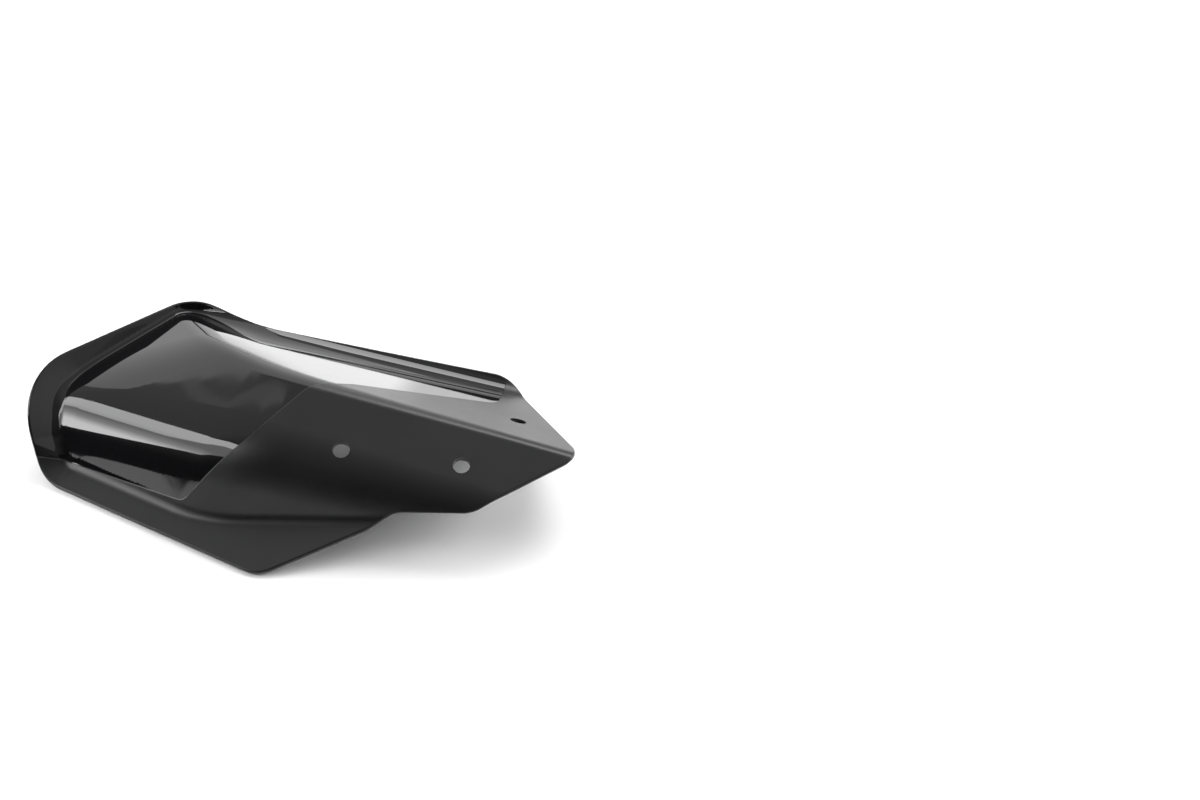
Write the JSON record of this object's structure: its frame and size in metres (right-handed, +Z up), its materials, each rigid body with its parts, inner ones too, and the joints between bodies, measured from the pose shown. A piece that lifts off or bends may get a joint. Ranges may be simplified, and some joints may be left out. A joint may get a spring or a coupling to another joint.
{
  "type": "motorcycle hand guard",
  "caption": "Left half of a pair of moulded handlebar wind guards: a thin faceted plastic shell with a turned-up rim, a flap, a narrow bolted end and round bolt holes.",
  "frame": {"origin": "centre of the shell's bounding box in plan, on the surface it lies on", "axes": "+X along the guard towards its narrow bolted end, +Y towards the back edge, +Z up, away from the open side that it lies on"},
  "size_m": [0.288, 0.1716, 0.0639],
  "materials": {
    "shell": "black moulded plastic, polished on the main faces and the rim, fine matte on the flap, the lower wall's right part and the narrow end"
  },
  "bodies": {
    "root": {"guard_shell": "shell"}
  },
  "joints": []
}
